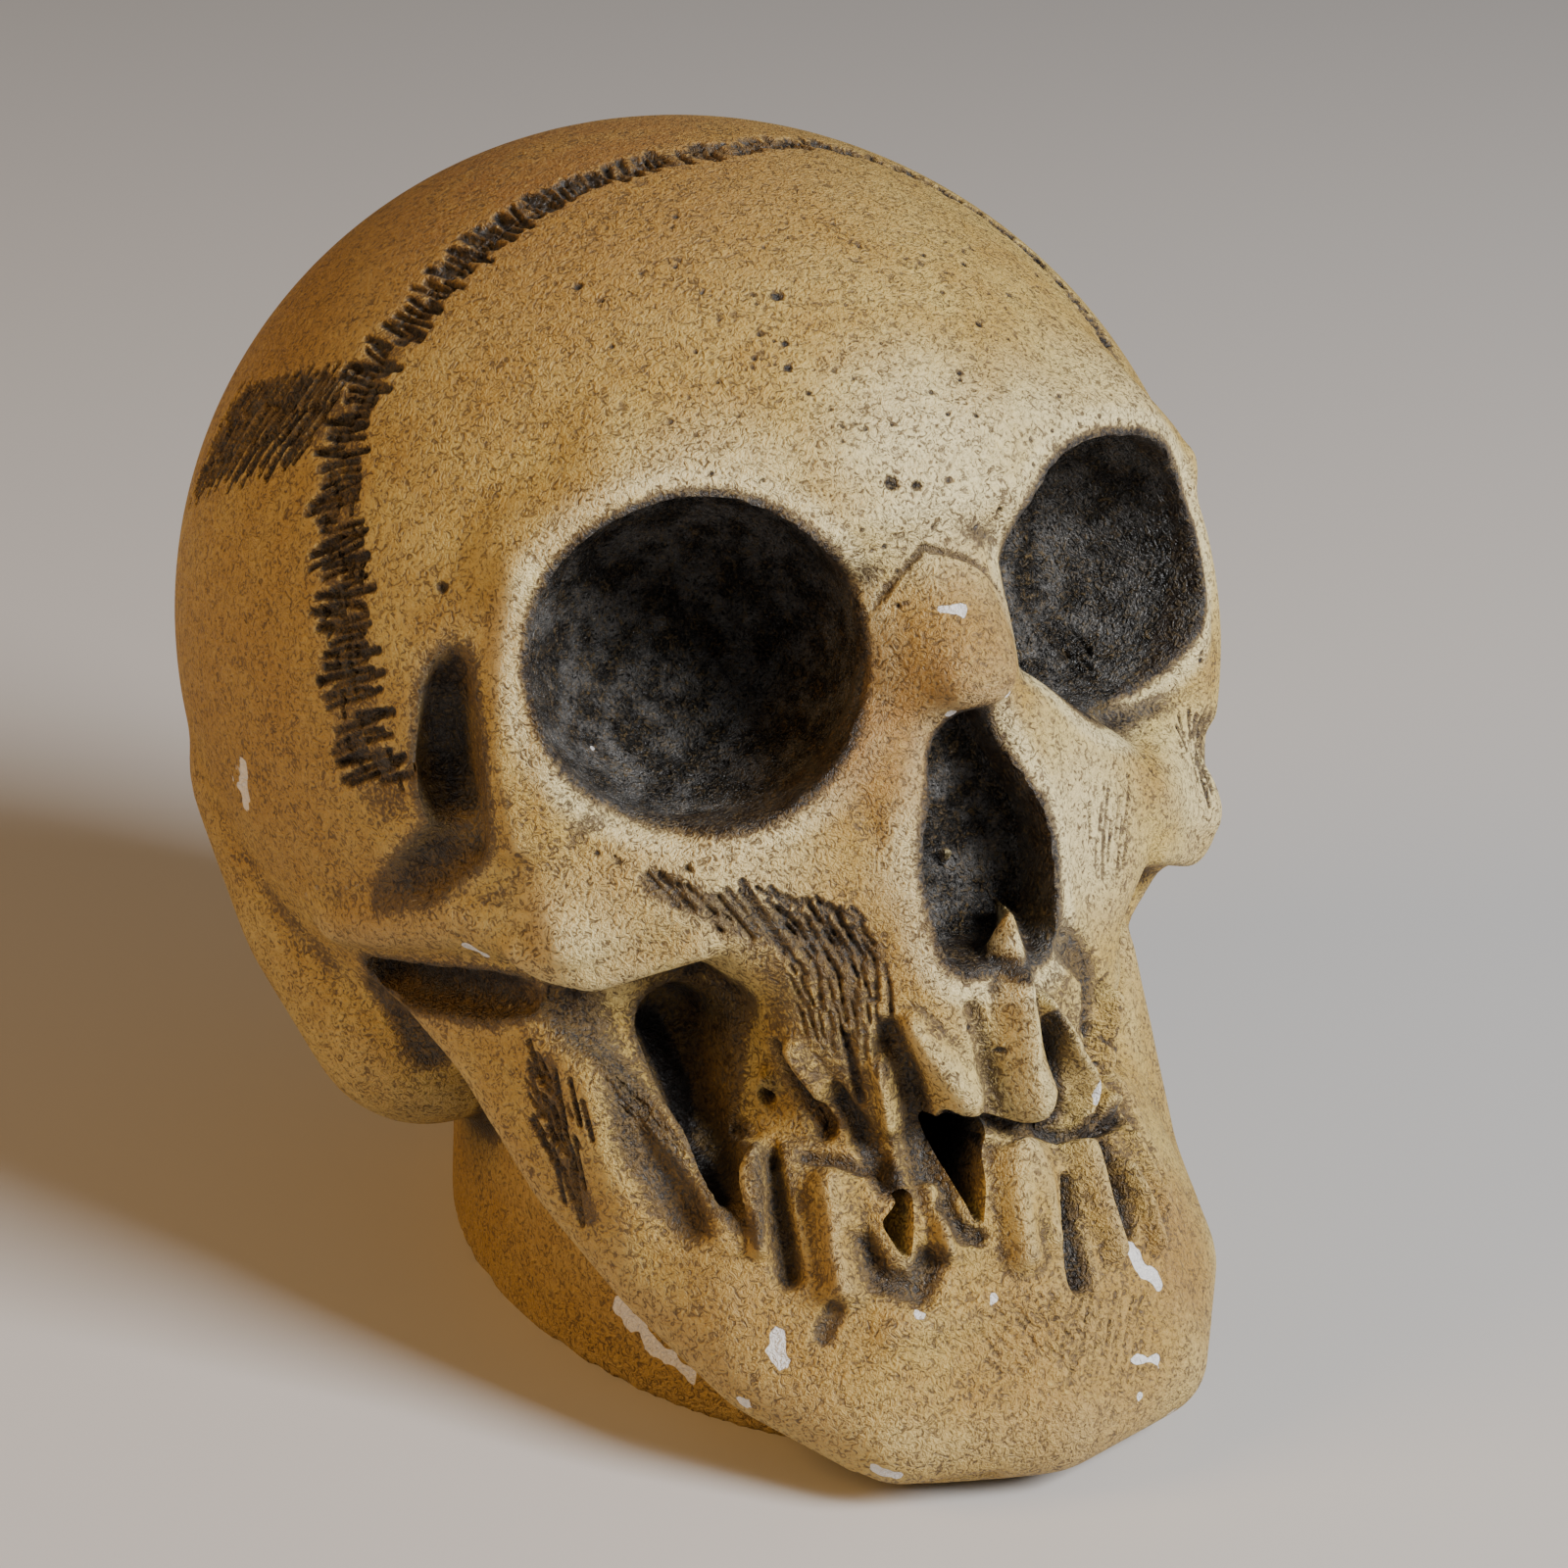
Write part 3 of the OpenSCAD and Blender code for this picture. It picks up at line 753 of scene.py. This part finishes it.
# Near a spoon the wash deepens; in the temples, cheek hollows and under the arches this is partly painted
# shade. The pale ring round each socket is partly pale rim paint and partly painted highlight.
for tool, dark in spoons:
    tree = surface_of(tool)
    corners = read_points(tool)
    rim = 5 if dark == 1.0 else 2
    margin = rim * MM
    low, high = corners.min(axis=0) - margin, corners.max(axis=0) + margin
    inside = np.all((points > low) & (points < high), axis=1)
    for i in np.flatnonzero(inside):
        gap = tree.find_nearest(Vector(points[i]), margin)[3]
        if gap is not None:
            wash_and_shade[i] = max(wash_and_shade[i], dark * soft_step(1.25 - gap / (1.3 * MM)))
            if dark == 1.0:
                pale_paint_and_highlight[i] = max(pale_paint_and_highlight[i], soft_step(1 - abs(gap / MM - 2.2) / 2.8))
remove(*[tool for tool, _ in spoons])
PAINT = {"wash_and_shade": wash_and_shade, "flaked": flaked, "warm": warm, "pale_paint_and_highlight": pale_paint_and_highlight}
print("share of the surface under dark wash:", round(float((wash_and_shade > 0.5).mean()), 3))

# %% [markdown]
# ## Hollowing and cutting apart
# The dry skin is hollow. The hollow is one melted tool made of the braincase's inside, the space
# behind the face and the open neck, less the walls of the cups behind the sockets and the nose.
# Two slots where teeth are missing break through. After that the skin is cut along the joints.

# %% Hollow it
def face_outline(shift):
    return [(y + shift if y > -100 else y, z) for y, z in FACE_CUT]


inside = oval_ball(VAULT_MIDDLE, VAULT_RADII - WALL)
behind_face = side_prism(face_outline(WALL))
cut(inside, behind_face)
INNER_CORE = [(16, -10, 88, 12), (14, -16, 64, 11), (6, -34, 58, 7), (8, -24, 84, 8)]
MOUTH_CORE = [(10, -44, 36, 5), (4, -48, 35, 5), (8, -26, 38, 9), (10, -20, 30, 9)]
throat = neck_oval(NECK_WALL, -2, 44)
throat_slope = side_prism([(y + 6, z) for y, z in SLOPE])
cut(throat, throat_slope)
hollow = melt([inside, skin(INNER_CORE, twin=True), skin(MOUTH_CORE, twin=True), throat], "hollow", 2.0)
cups = both([(*EYE_MIDDLE, EYE_RADIUS + 2.5)], detail=4)
for balls, _, _ in SPOONS.values():
    cups += both(grown(balls, 2.5))
nose_block = skin(grown(NOSE_DEEP, 1.8) + grown(NOSE_MOUTH, 2.5), twin=True)
for keep in cups + [nose_block]:
    cut(hollow, keep)
TOOTH_SLOTS = [[(-8.6, -64, 39.2, 1.2), (-4.6, -64, 38.2, 1.2), (-6.6, -66, 34, 1.1),
                (-6.6, -68, 30.2, 0.6)],
               [(-13.4, -64, 32.4, 0.7), (-15.2, -64, 30, 1.1), (-14.8, -67, 27.4, 0.6)]]
for slot in TOOTH_SLOTS:
    deep = [(x + 2, y + 24, z + 1, r) for x, y, z, r in slot]
    tool = skin(slot + deep)
    cut(clay, tool)
    remove(tool)
cut(clay, hollow)
remove(hollow, nose_block, behind_face, throat_slope, *cups)
print("hollowed clay:", len(clay.data.vertices), "vertices")


# %% Zones that cut it apart
# A cup ends in a flat line across its socket, this far ahead of the socket's middle
CUP_END = 5
SOCKET_AXIS = (0.34, -0.933, 0.115)


def ahead_of_socket():
    """The space in front of the line where a cup ends, for the left socket and the right one."""
    made = []
    block_size = 60
    for side in (-1, 1):
        axis = Vector((side * SOCKET_AXIS[0], *SOCKET_AXIS[1:])).normalized()
        bpy.ops.mesh.primitive_cube_add(size=block_size * MM)
        block = bpy.context.object
        block.rotation_euler = axis.to_track_quat("Z", "Y").to_euler()
        middle = Vector((side * EYE_MIDDLE[0], EYE_MIDDLE[1], EYE_MIDDLE[2])) * MM
        block.location = middle + axis * (CUP_END + block_size / 2) * MM
        bpy.ops.object.transform_apply(location=True, rotation=True, scale=True)
        made.append(block)
    return made


def take(name, zones):
    """Cuts the clay inside the zones out as a piece of its own."""
    zone = zones[0]
    for other in zones[1:]:
        cut(zone, other, "UNION")
        remove(other)
    piece = twin_copy(clay, name)
    cut(piece, zone, "INTERSECT")
    cut(clay, zone)
    remove(zone)
    pieces[name] = piece
    print(name, len(piece.data.vertices), "vertices")


def oval_skull(extra):
    return oval_ball(VAULT_MIDDLE, VAULT_RADII + extra)


pieces = {}
neck_zone = neck_oval(-1, -4, 48)
for blocker in (side_prism(SLOPE), oval_skull(0.1)):
    cut(neck_zone, blocker)
    remove(blocker)
take("neck_foot", [neck_zone])

UPPER_TEETH = [[(-20, -48, 42, 2.2), (-19.4, -50, 38, 2)], [(-14.2, -55, 46, 2), (-14, -57, 39, 2)],
               [(-8.2, -58, 47, 2), (-6.6, -59, 42.6, 2.3)],
               [(0.6, -58, 50, 2.2), (1.8, -59.6, 42, 3)],
               [(7.8, -58.4, 44, 1.8), (10.2, -57, 38.4, 2)],
               [(15, -55, 44, 1.8), (15.4, -55.6, 38, 1.9)], [(20, -49, 44, 2), (20.4, -50, 39, 2)]]
LOWER_TEETH = [[(-19.8, -56, 33.4, 2.8), (-20.2, -58.4, 28, 2.8)],
               [(-10.4, -61, 33, 1.5), (-10.4, -63, 29, 1.6)],
               [(-0.2, -60.4, 34.6, 2.8), (-1.4, -64, 28, 3)],
               [(8.4, -60, 33, 2.6), (9, -64, 27, 2.6)],
               [(15, -60.6, 29.5, 1.6), (15.8, -62.6, 26, 1.5)],
               [(21, -55, 31, 2.4), (21.5, -57, 27, 2.4)]]
take("upper_teeth", [skin(balls) for balls in UPPER_TEETH])
take("lower_teeth", [skin(balls) for balls in LOWER_TEETH])

fronts = ahead_of_socket()
for side, front in zip(("right_eye_cup", "left_eye_cup"), fronts):
    ball = (*EYE_MIDDLE, EYE_RADIUS + 2.5)
    zone = skin([flip(ball) if side.startswith("right") else ball], detail=5)
    cut(zone, front)
    take(side, [zone])
remove(*fronts)
nose_zone = skin(grown(NOSE_DEEP, 1.8), twin=True)
nose_front = side_prism([(-90, 30), (-90, 110), (-44, 95), (-48, 74), (-50, 54), (-52, 30)])
cut(nose_zone, nose_front)
remove(nose_front)
take("nose_cup", [nose_zone])
take("nose_bridge", [skin([(0, -42, 97.4, 1.6), (5.6, -43, 90, 2.4), (3.6, -50, 84.6, 2.2)], twin=True)])

for name, side in (("right_cheek_arch", -1), ("left_cheek_arch", 1)):
    zone = skin([(side * 46.5, -19, 56, 5.4), (side * 51, -9, 53, 5.2), (side * 53, 0, 50.5, 5)])
    block = oval_skull(0.1)
    cut(zone, block)
    remove(block)
    take(name, [zone])

JAW_BODY = [(-90, -6), (-90, 39), (-60, 37.8), (-50, 35), (-38, 33), (-26, 31), (12, 20), (12, -6)]
RAMUS = [(-60, 30), (-60, 37.6), (-50, 36), (-44, 45), (-36, 50.5), (-22, 52.6), (0, 51), (12, 44),
         (12, 30)]
LOW_RAMUS = [(y, min(z, 46)) for y, z in RAMUS]
jaw_zone = side_prism(JAW_BODY)
for outline, low, high in ((RAMUS, -48.4, -24), (RAMUS, 24, 36), (LOW_RAMUS, 35, 44)):
    ramus_zone = side_prism(outline, low, high)
    cut(jaw_zone, ramus_zone, "UNION")
    remove(ramus_zone)
for block in [oval_skull(0.1)] + both(grown(BASE_LUMPS, 0.1)):
    cut(jaw_zone, block)
    remove(block)
take("lower_jaw", [jaw_zone])
SEAM_SLOPE = 0.42
rear_zone = side_prism([(-4 + SEAM_SLOPE * (-20 - 95.3), -20), (-4 + SEAM_SLOPE * (150 - 95.3), 150),
                        (120, 150), (120, -20)])
take("rear_shell", [rear_zone])
clay.name = "face_shell"
pieces["face_shell"] = clay


# %% Give every piece its paint
def drop_crumbs(piece, fewest=150):
    """Deletes loose crumbs that a cut left behind."""
    pick(piece)
    bpy.ops.object.mode_set(mode="EDIT")
    bpy.ops.mesh.select_all(action="SELECT")
    bpy.ops.mesh.separate(type="LOOSE")
    bpy.ops.object.mode_set(mode="OBJECT")
    parts = list(bpy.context.selected_objects)
    name = piece.name
    keep = [part for part in parts if len(part.data.vertices) >= fewest]
    remove(*[part for part in parts if len(part.data.vertices) < fewest])
    print(name, "has", len(keep), "solid(s)")
    return join(sorted(keep, key=lambda part: -len(part.data.vertices)), name)


outer = KDTree(len(points))
for i, point in enumerate(points):
    outer.insert(point, i)
outer.balance()
for name, piece in pieces.items():
    piece = drop_crumbs(piece)
    piece.name = "painted_" + name
    pieces[name] = piece
    places = read_points(piece)
    nearest = [outer.find(place)[1:] for place in places]
    index = np.array([n[0] for n in nearest])
    bare = np.array([n[1] for n in nearest]) > 0.6 * MM
    # The inside seen through the tooth holes is painted pitch black: painted shade, since little light
    # gets in there.
    shaded_mouth_inside = bare & (places[:, 1] < -38 * MM) & (places[:, 2] < 52 * MM)
    for layer, values in {**PAINT, "bare": bare}.items():
        here = values[index] if layer != "bare" else bare
        here = np.where(bare, 1.0 if layer == "bare" else 0.0, here)
        if layer in ("wash_and_shade", "bare"):
            here = np.where(shaded_mouth_inside, 1.6 if layer == "wash_and_shade" else 0.0, here)
        attribute = piece.data.attributes.new(layer, "FLOAT", "POINT")
        attribute.data.foreach_set("value", here.astype(np.float32))
print("pieces:", len(pieces))

# %% [markdown]
# ## The paint
# One recipe makes all the finishes. A cream to ochre body is mottled by noise, dark specks sit in
# the pits of the orange-peel surface, brown places are mixed in that are partly the figure's own
# paint and partly painted shade, pale places are mixed in that are partly dry-brushed paint and
# partly painted highlight, and the near-black wash has a ragged edge because noise is added to it
# before it is thresholded. Inside the mouth and in shaded hollows that wash is painted shade. White
# ground shows at the chips. The bump is the same noise that holds the specks, so colour and relief
# agree.


# %% The paint recipe
def add(tree, kind, inputs=None, **settings):
    """Adds a shader node. Inputs are numbers, colours or the sockets to link from."""
    node = tree.nodes.new(kind)
    for name, value in settings.items():
        setattr(node, name, value)
    for name, value in (inputs or {}).items():
        if isinstance(value, bpy.types.NodeSocket):
            tree.links.new(value, node.inputs[name])
        else:
            node.inputs[name].default_value = value
    return node


def noise(tree, place, scale, detail=3.0, rough=0.55, distort=0.0):
    node = add(tree, "ShaderNodeTexNoise", {"Vector": place, "Scale": scale, "Detail": detail,
                                            "Roughness": rough, "Distortion": distort})
    return node.outputs["Fac"]


def spread(tree, value, low, high, to_low=0.0, to_high=1.0):
    """Maps low..high to 0..1 with soft ends."""
    node = add(tree, "ShaderNodeMapRange", {"Value": value, "From Min": low, "From Max": high,
                                            "To Min": to_low, "To Max": to_high},
               interpolation_type="SMOOTHSTEP")
    return node.outputs["Result"]


def maths(tree, operation, a, b):
    return add(tree, "ShaderNodeMath", {0: a, 1: b}, operation=operation).outputs[0]


def blend(tree, share, first, second):
    node = add(tree, "ShaderNodeMix", data_type="RGBA")
    for key, value in ((0, share), (6, first), (7, second)):
        if isinstance(value, bpy.types.NodeSocket):
            tree.links.new(value, node.inputs[key])
        else:
            node.inputs[key].default_value = value
    return node.outputs[2]


OCHRE = (0.41, 0.245, 0.048, 1)
CREAM = (0.60, 0.440, 0.130, 1)
BONE = (0.86, 0.74, 0.41, 1)
PIT = (0.145, 0.088, 0.032, 1)
BROWN = (0.30, 0.145, 0.035, 1)
SPECK = (0.105, 0.064, 0.028, 1)
INK = (0.026, 0.017, 0.011, 1)
SLATE = (0.056, 0.051, 0.046, 1)
PITCH = (0.007, 0.005, 0.004, 1)
SOOT = (0.024, 0.022, 0.020, 1)
ASH = (0.135, 0.129, 0.122, 1)
GROUND = (0.80, 0.77, 0.73, 1)
BARE = (0.34, 0.29, 0.21, 1)


def skull_paint(name, extra_brown_and_shade, gloss, grain=1.0, dark=INK, light=SLATE):
    material = bpy.data.materials.new(name)
    material.use_nodes = True
    tree = material.node_tree
    surface = tree.nodes["Principled BSDF"]
    place = add(tree, "ShaderNodeTexCoord").outputs["Object"]
    layer = {key: add(tree, "ShaderNodeAttribute", attribute_name=key).outputs["Fac"]
             for key in ("wash_and_shade", "flaked", "warm", "pale_paint_and_highlight", "bare")}
    pebbles = noise(tree, place, 1150, 2.5, 0.6, 1.6)
    grit = noise(tree, place, 2900, 2.0, 0.6)
    clouds = noise(tree, place, 130, 3.0, 0.6)
    patches = noise(tree, place, 24, 2.0, 0.5)

    body = blend(tree, spread(tree, clouds, 0.22, 0.78), OCHRE, CREAM)
    body = blend(tree, maths(tree, "MULTIPLY", spread(tree, patches, 0.35, 0.7), 0.25), body, OCHRE)
    # The pale layer is partly pale paint and partly painted highlight; the brown layer is partly
    # orange-brown paint and partly painted shade.
    body = blend(tree, maths(tree, "MULTIPLY", layer["pale_paint_and_highlight"], 0.8), body, BONE)
    warm = maths(tree, "ADD", layer["warm"], extra_brown_and_shade)
    warm = maths(tree, "MULTIPLY", warm, spread(tree, clouds, 0.25, 0.6, 0.5, 1.0))
    body = blend(tree, maths(tree, "MULTIPLY", warm, 0.85), body, BROWN)
    pits = spread(tree, pebbles, 0.50, 0.37)
    pits = maths(tree, "MULTIPLY", pits, spread(tree, clouds, 0.3, 0.62, 0.9, 0.6))
    body = blend(tree, pits, body, PIT)
    tops = maths(tree, "MULTIPLY", spread(tree, pebbles, 0.56, 0.72), 0.35)
    body = blend(tree, tops, body, CREAM)

    ragged = maths(tree, "MULTIPLY", maths(tree, "SUBTRACT", pebbles, 0.5), 1.5)
    fine = maths(tree, "MULTIPLY", maths(tree, "SUBTRACT", grit, 0.5), 0.9)
    wash_and_shade = maths(tree, "SUBTRACT", maths(tree, "SUBTRACT", layer["wash_and_shade"], ragged), fine)
    ink = blend(tree, spread(tree, noise(tree, place, 260, 3.0), 0.40, 0.64), dark, light)
    thin = maths(tree, "MULTIPLY", spread(tree, wash_and_shade, -0.05, 0.5), 0.88)
    body = blend(tree, thin, body, SPECK)
    body = blend(tree, spread(tree, wash_and_shade, 0.52, 1.05), body, ink)
    # Where the wash is deepest it turns pitch black; inside the mouth and in the darkest hollows this is
    # painted shade.
    body = blend(tree, spread(tree, wash_and_shade, 1.02, 1.4), body, PITCH)
    torn = maths(tree, "MULTIPLY", maths(tree, "SUBTRACT", noise(tree, place, 420, 1.0), 0.5), 2.2)
    chip = spread(tree, maths(tree, "ADD", layer["flaked"], torn), 0.34, 0.4)
    chip = maths(tree, "MULTIPLY", chip, spread(tree, layer["flaked"], 0.02, 0.06))
    body = blend(tree, chip, body, GROUND)
    body = blend(tree, layer["bare"], body, BARE)
    tree.links.new(body, surface.inputs["Base Color"])

    rough = spread(tree, grit, 0.3, 0.7, gloss, gloss + 0.22)
    rough = maths(tree, "SUBTRACT", rough, maths(tree, "MULTIPLY", spread(tree, wash_and_shade, 0.5, 0.9), 0.14))
    unpainted = maths(tree, "MAXIMUM", chip, layer["bare"])
    rough = maths(tree, "MAXIMUM", rough, maths(tree, "MULTIPLY", unpainted, 0.85))
    tree.links.new(rough, surface.inputs["Roughness"])
    coarse = maths(tree, "MULTIPLY", pebbles, 0.75)
    relief = maths(tree, "ADD", coarse, maths(tree, "MULTIPLY", grit, 0.25))
    relief = maths(tree, "SUBTRACT", relief, maths(tree, "MULTIPLY", chip, 0.2))
    bump = add(tree, "ShaderNodeBump", {"Height": relief, "Strength": min(0.85 * grain, 1.0),
                                        "Distance": 1.1 * grain * MM})
    tree.links.new(bump.outputs["Normal"], surface.inputs["Normal"])
    surface.inputs["Specular IOR Level"].default_value = 0.45
    return material


# The ochre finish of the rear shell, nose bridge and neck foot is a browner copy of the cream one: partly
# their own orange paint, partly painted shade and warm lamplight on the back of the head.
FINISHES = {
    "cream_clay": skull_paint("cream_paint", 0.0, 0.46),
    "warm_clay": skull_paint("ochre_paint_and_shade", 0.14, 0.48),
    "soot": skull_paint("socket_black", 0.0, 0.24, 1.7, SOOT, ASH),
}
record_slots = {"rear_shell": "warm_clay", "nose_bridge": "warm_clay", "neck_foot": "warm_clay",
                "right_eye_cup": "soot", "left_eye_cup": "soot", "nose_cup": "soot"}
for name, piece in pieces.items():
    slot = record_slots.get(name, "cream_clay")
    piece.data.materials.clear()
    piece.data.materials.append(FINISHES[slot])
    pick(piece)
    bpy.ops.object.shade_smooth_by_angle(angle=math.radians(50))
    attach(piece, "root")
    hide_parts(name)

# %% [markdown]
# ## Camera, floor and light
# The camera stands a little above the skull, in front of its right cheek, with a long lens. A soft
# cool window on the viewer's right lights the face, and a dim warm lamp fills the back of the head.

# %% Camera
CAMERA_PLACE = (-261.4, -445.7, 264.7)
CAMERA_AIM = (0.4775, 0.7948, -0.3746)
CAMERA_ROLL = math.radians(1.8)
camera_data = bpy.data.cameras.new("camera")
camera = bpy.data.objects.new("camera", camera_data)
bpy.context.collection.objects.link(camera)
camera_data.lens = 110.8
camera_data.sensor_width = 36
aim = Vector(CAMERA_AIM).normalized()
level = aim.cross(Vector((0, 0, 1))).normalized()
upright = level.cross(aim)
right = level * math.cos(CAMERA_ROLL) + upright * math.sin(CAMERA_ROLL)
up = right.cross(aim)
camera.matrix_world = Matrix.Translation(Vector(CAMERA_PLACE) * MM) @ Matrix(
    (right, up, -aim)
).transposed().to_4x4()
bpy.context.scene.camera = camera

# %% Floor and lights
bpy.ops.mesh.primitive_plane_add(size=4)
floor = bpy.context.object
floor.name = "floor"
plain = bpy.data.materials.new("plain_floor")
plain.use_nodes = True
plain.node_tree.nodes["Principled BSDF"].inputs["Base Color"].default_value = (0.62, 0.60, 0.58, 1)
plain.node_tree.nodes["Principled BSDF"].inputs["Roughness"].default_value = 0.5
floor.data.materials.append(plain)


def area_light(name, place, target, size, power, colour):
    data = bpy.data.lights.new(name, "AREA")
    data.size = size
    data.energy = power
    data.color = colour
    light = bpy.data.objects.new(name, data)
    bpy.context.collection.objects.link(light)
    light.location = place
    light.rotation_euler = (Vector(target) - Vector(place)).to_track_quat("-Z", "Y").to_euler()
    return light


area_light("window", (0.50, -0.98, 0.80), (0, 0, 0.07), 0.5, 30, (0.97, 0.98, 1.0))
area_light("lamp", (-0.9, 0.1, 0.6), (0, 0, 0.07), 0.5, 5.5, (1.0, 0.58, 0.18))
world = bpy.data.worlds.new("room")
bpy.context.scene.world = world
world.use_nodes = True
world.node_tree.nodes["Background"].inputs["Color"].default_value = (0.5, 0.5, 0.52, 1)
world.node_tree.nodes["Background"].inputs["Strength"].default_value = 0.17
